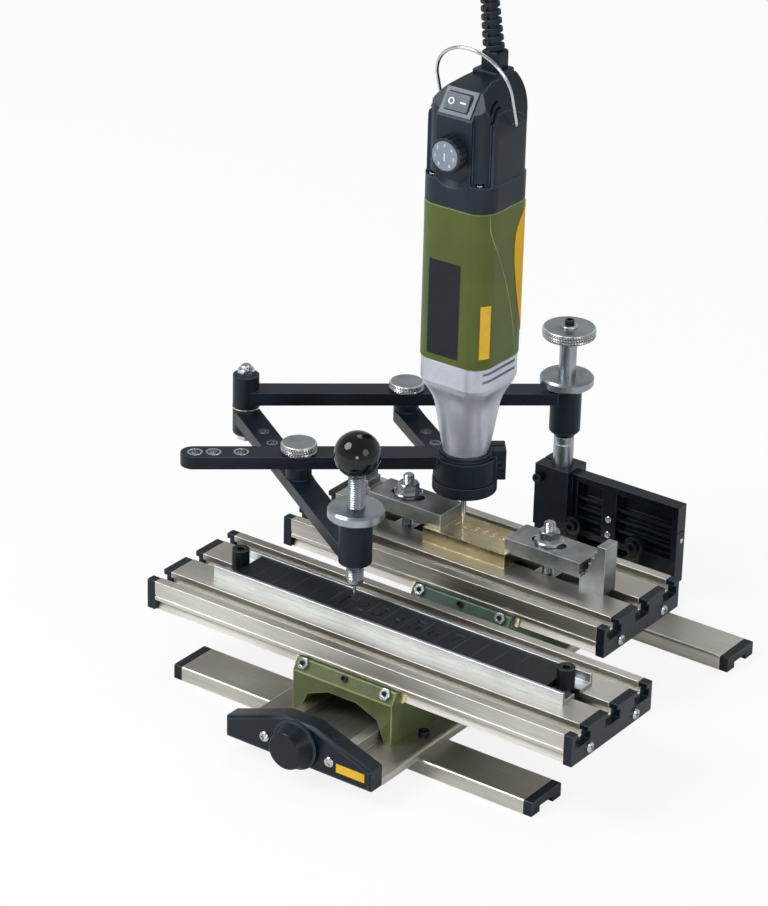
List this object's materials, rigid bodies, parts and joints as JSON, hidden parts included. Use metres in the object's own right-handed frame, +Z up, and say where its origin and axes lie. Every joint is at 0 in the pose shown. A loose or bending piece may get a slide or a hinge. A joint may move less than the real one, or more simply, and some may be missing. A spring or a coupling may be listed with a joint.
{
  "type": "pantograph engraving machine",
  "caption": "Bench pantograph engraver: two T-slot tables on a cross rail, a parallelogram arm on a column that carries a stylus and a slim power tool, and a template rail with digits.",
  "frame": {"origin": "on the bench, midway between the two foot rails and under the middle of the cross rail", "axes": "+Z up, +X along the two tables, +Y to the back, towards the pivot column"},
  "size_m": [0.3038, 0.3014, 0.3602],
  "materials": {
    "extrusion": "satin",
    "bracket_plastic": "satin",
    "green_casting": "satin",
    "bright_steel": "bright",
    "black_steel": "black oxide",
    "black_arm": "satin",
    "brass": "satin",
    "rail_aluminium": "satin",
    "tile_plastic": "matte",
    "work_steel": "ground",
    "gloss_ball": "gloss",
    "nose_zinc": "satin",
    "green_plastic": "satin",
    "head_plastic": "satin",
    "yellow_rubber": "matte",
    "switch_plastic": "satin",
    "dial_plastic": "satin",
    "sleeve_rubber": "matte",
    "motor_steel": "satin"
  },
  "bodies": {
    "base": {"front_foot_rail": "extrusion", "rear_foot_rail": "extrusion", "foot_caps": "bracket_plastic", "foot_screws": "black_steel", "cross_rail": "extrusion", "front_end_plate": "bracket_plastic", "end_plate_screws": "bright_steel", "rear_bracket": "bracket_plastic", "column_clamp_screw": "black_steel", "front_carriage": "green_casting", "rear_carriage": "green_casting", "gib_strips": "brass", "gib_screws": "bright_steel", "gib_nuts": "bright_steel"},
    "knob": {"feed_knob": "bracket_plastic"},
    "template_slide": {"template_table": "extrusion", "template_table_caps": "bracket_plastic", "template_cap_screws": "bright_steel", "template_rail": "rail_aluminium", "digit_tiles": "tile_plastic", "template_screws": "black_steel", "template_t_nuts": "bright_steel"},
    "work_slide": {"work_table": "extrusion", "work_table_caps": "bracket_plastic", "work_cap_screws": "bright_steel", "workpiece": "brass", "clamp_bars": "work_steel", "clamp_studs": "bright_steel", "clamp_nuts": "bright_steel", "step_blocks": "work_steel"},
    "column": {"pivot_column": "bright_steel", "lift_knob": "bright_steel"},
    "height_collar": {"height_disc": "bright_steel"},
    "rear_lever": {"rear_arm": "black_arm", "elbow_washer": "brass", "elbow_bolt": "bright_steel", "elbow_nut": "bright_steel"},
    "stylus_lever": {"diagonal_arm": "black_arm", "arm_pivot_screw": "bright_steel"},
    "link_lever": {"link_arm": "black_arm", "link_pivot_screw": "bright_steel"},
    "tool_lever": {"front_arm": "black_arm", "front_arm_bushes": "bright_steel", "ring_clamp_screw": "black_steel", "tool_nose": "nose_zinc", "tool_shells": "green_plastic", "tool_head": "head_plastic", "grip_inserts": "yellow_rubber", "switch_bezel": "switch_plastic", "bend_sleeve": "sleeve_rubber", "tool_motor": "motor_steel"},
    "stylus_nut": {"stylus_disc": "bright_steel"},
    "stylus": {"stylus_spindle": "bright_steel", "stylus_ball": "gloss_ball", "stylus_needle": "bright_steel"},
    "rocker": {"switch_rocker": "switch_plastic"},
    "dial": {"speed_dial": "dial_plastic"},
    "bail": {"hanging_bail": "bright_steel"},
    "chuck": {"tool_spindle": "bright_steel", "cutter_bit": "bright_steel"}
  },
  "joints": [
    {"name": "feed_knob_turn", "type": "hinge", "parent": "base", "child": "knob", "pos_m": [0, -0.144, 0.02], "axis": [0, -1, 0], "continuous": true},
    {"name": "template_table_slide", "type": "slide", "parent": "base", "child": "template_slide", "axis": [1, 0, 0], "range_m": [-0.09, 0.065]},
    {"name": "work_table_slide", "type": "slide", "parent": "base", "child": "work_slide", "axis": [1, 0, 0], "range_m": [-0.031, 0.004]},
    {"name": "column_slide", "type": "slide", "parent": "base", "child": "column", "axis": [0, 0, 1], "range_m": [0, 0.02]},
    {"name": "arm_height_slide", "type": "slide", "parent": "column", "child": "height_collar", "axis": [0, 0, 1], "range_m": [0, 0.02]},
    {"name": "rear_arm_turn", "type": "hinge", "parent": "height_collar", "child": "rear_lever", "pos_m": [-0.0313, 0.1328, 0.097], "axis": [0, 0, 1], "range_deg": [-2.5, 18]},
    {"name": "elbow_turn", "type": "hinge", "parent": "rear_lever", "child": "stylus_lever", "pos_m": [-0.16428, 0.02577, 0.085], "axis": [0, 0, 1], "range_deg": [-4.5, 20]},
    {"name": "link_turn", "type": "hinge", "parent": "rear_lever", "child": "link_lever", "pos_m": [-0.09779, 0.07928, 0.085], "axis": [0, 0, 1], "range_deg": [-4.5, 20]},
    {"name": "front_arm_turn", "type": "hinge", "parent": "stylus_lever", "child": "tool_lever", "pos_m": [-0.09319, -0.02146, 0.098], "axis": [0, 0, 1], "range_deg": [-20, 4.5]},
    {"name": "stylus_nut_turn", "type": "hinge", "parent": "stylus_lever", "child": "stylus_nut", "pos_m": [-0.0221, -0.0687, 0.108], "axis": [0, 0, 1], "continuous": true},
    {"name": "stylus_height_slide", "type": "slide", "parent": "stylus_lever", "child": "stylus", "axis": [0, 0, 1], "range_m": [0, 0.012]},
    {"name": "switch_rock", "type": "hinge", "parent": "tool_lever", "child": "rocker", "pos_m": [-0.0267, 0.01575, 0.29575], "axis": [1, 0, 0], "range_deg": [-16, 0]},
    {"name": "speed_dial_turn", "type": "hinge", "parent": "tool_lever", "child": "dial", "pos_m": [-0.0267, 0.01175, 0.2715], "axis": [0, -1, 0], "range_deg": [0, 270]},
    {"name": "bail_swing", "type": "hinge", "parent": "tool_lever", "child": "bail", "pos_m": [-0.0267, 0.03345, 0.284], "axis": [1, 0, 0], "range_deg": [-20, 60]},
    {"name": "cutter_spin", "type": "hinge", "parent": "tool_lever", "child": "chuck", "pos_m": [-0.0267, 0.03205, 0.1], "axis": [0, 0, 1], "continuous": true}
  ],
  "couplings": [
    {"joint": "link_turn", "follows": "elbow_turn", "ratio": 1},
    {"joint": "front_arm_turn", "follows": "elbow_turn", "ratio": -1}
  ]
}
